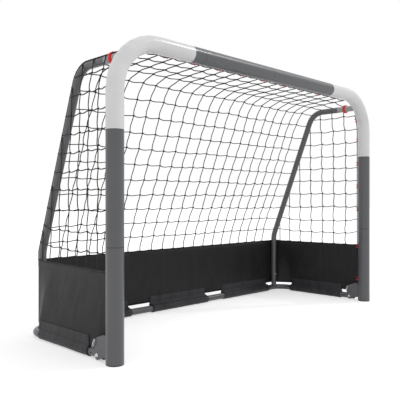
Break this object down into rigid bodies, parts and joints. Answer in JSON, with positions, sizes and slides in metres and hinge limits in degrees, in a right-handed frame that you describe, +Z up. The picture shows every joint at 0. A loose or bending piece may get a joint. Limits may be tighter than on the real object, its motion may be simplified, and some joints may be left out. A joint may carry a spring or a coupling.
{
  "type": "small goal net",
  "caption": "Steel tube goal for street and garden play with a net, cloth skirts, a hinged front frame and plug-in stanchions.",
  "frame": {"origin": "middle of the footprint, on the floor", "axes": "+X across the mouth to the right hand post, +Y from the mouth to the back, +Z up"},
  "size_m": [1.8, 0.6504, 1.18],
  "materials": {
    "grey_steel": "satin",
    "white_steel": "satin",
    "spigot_grey": "satin",
    "bright_steel": "zinc",
    "black_plastic": "matte",
    "red_plastic": "gloss",
    "nylon": "matte",
    "skirt_cloth": "coated weave",
    "sleeve_cloth": "coated weave",
    "net_cord": "cord"
  },
  "bodies": {
    "rear_frame": {"left_side_rail": "grey_steel", "right_side_rail": "grey_steel", "left_rail_bushes": "nylon", "right_rail_bushes": "nylon", "left_corner": "grey_steel", "right_corner": "grey_steel", "left_back_rail": "grey_steel", "right_back_rail": "grey_steel", "left_stanchion": "grey_steel", "right_stanchion": "grey_steel", "left_button_spring": "bright_steel", "right_button_spring": "bright_steel", "left_net": "net_cord", "right_net": "net_cord", "left_skirt": "skirt_cloth", "right_skirt": "skirt_cloth", "left_rail_sleeve": "sleeve_cloth", "right_rail_sleeve": "sleeve_cloth", "left_back_sleeve": "sleeve_cloth", "right_back_sleeve": "sleeve_cloth", "middle_back_rail": "grey_steel", "back_net": "net_cord", "bend_net": "net_cord", "top_net": "net_cord", "back_skirt": "skirt_cloth", "middle_back_sleeve": "sleeve_cloth"},
    "front_frame": {"left_foot_cap": "black_plastic", "right_foot_cap": "black_plastic", "left_lower_post": "grey_steel", "right_lower_post": "grey_steel", "left_post_joiner": "bright_steel", "right_post_joiner": "bright_steel", "left_upper_post": "grey_steel", "right_upper_post": "grey_steel", "left_elbow": "white_steel", "right_elbow": "white_steel", "left_crossbar": "grey_steel", "right_crossbar": "grey_steel", "left_spigot": "spigot_grey", "right_spigot": "spigot_grey", "left_spigot_ring": "red_plastic", "right_spigot_ring": "red_plastic", "left_hinge_bracket": "grey_steel", "right_hinge_bracket": "grey_steel", "left_hinge_bolt": "bright_steel", "right_hinge_bolt": "bright_steel", "left_hinge_nut": "bright_steel", "right_hinge_nut": "bright_steel", "left_lock_pin": "bright_steel", "right_lock_pin": "bright_steel", "crossbar_joiner": "bright_steel", "post_net_clips": "red_plastic", "crossbar_net_clips": "red_plastic"},
    "left_clip": {"left_pin_clip": "bright_steel"},
    "left_button": {"left_snap_button": "bright_steel"},
    "right_clip": {"right_pin_clip": "bright_steel"},
    "right_button": {"right_snap_button": "bright_steel"}
  },
  "joints": [
    {"name": "front_frame_tilt", "type": "hinge", "parent": "rear_frame", "child": "front_frame", "pos_m": [0, -0.21075, 0.02], "axis": [1, 0, 0], "range_deg": [0, 4]},
    {"name": "left_clip_pull", "type": "slide", "parent": "front_frame", "child": "left_clip", "axis": [0, -0.4226, 0.9063], "range_m": [0, 0.03]},
    {"name": "right_clip_pull", "type": "slide", "parent": "front_frame", "child": "right_clip", "axis": [0, -0.4226, 0.9063], "range_m": [0, 0.03]},
    {"name": "left_button_press", "type": "slide", "parent": "rear_frame", "child": "left_button", "axis": [0, 1, 0], "range_m": [0, 0.0043], "stiffness_N_per_m": 1500, "deforming": ["left_button_spring"]},
    {"name": "right_button_press", "type": "slide", "parent": "rear_frame", "child": "right_button", "axis": [0, 1, 0], "range_m": [0, 0.0043], "stiffness_N_per_m": 1500, "deforming": ["right_button_spring"]}
  ]
}
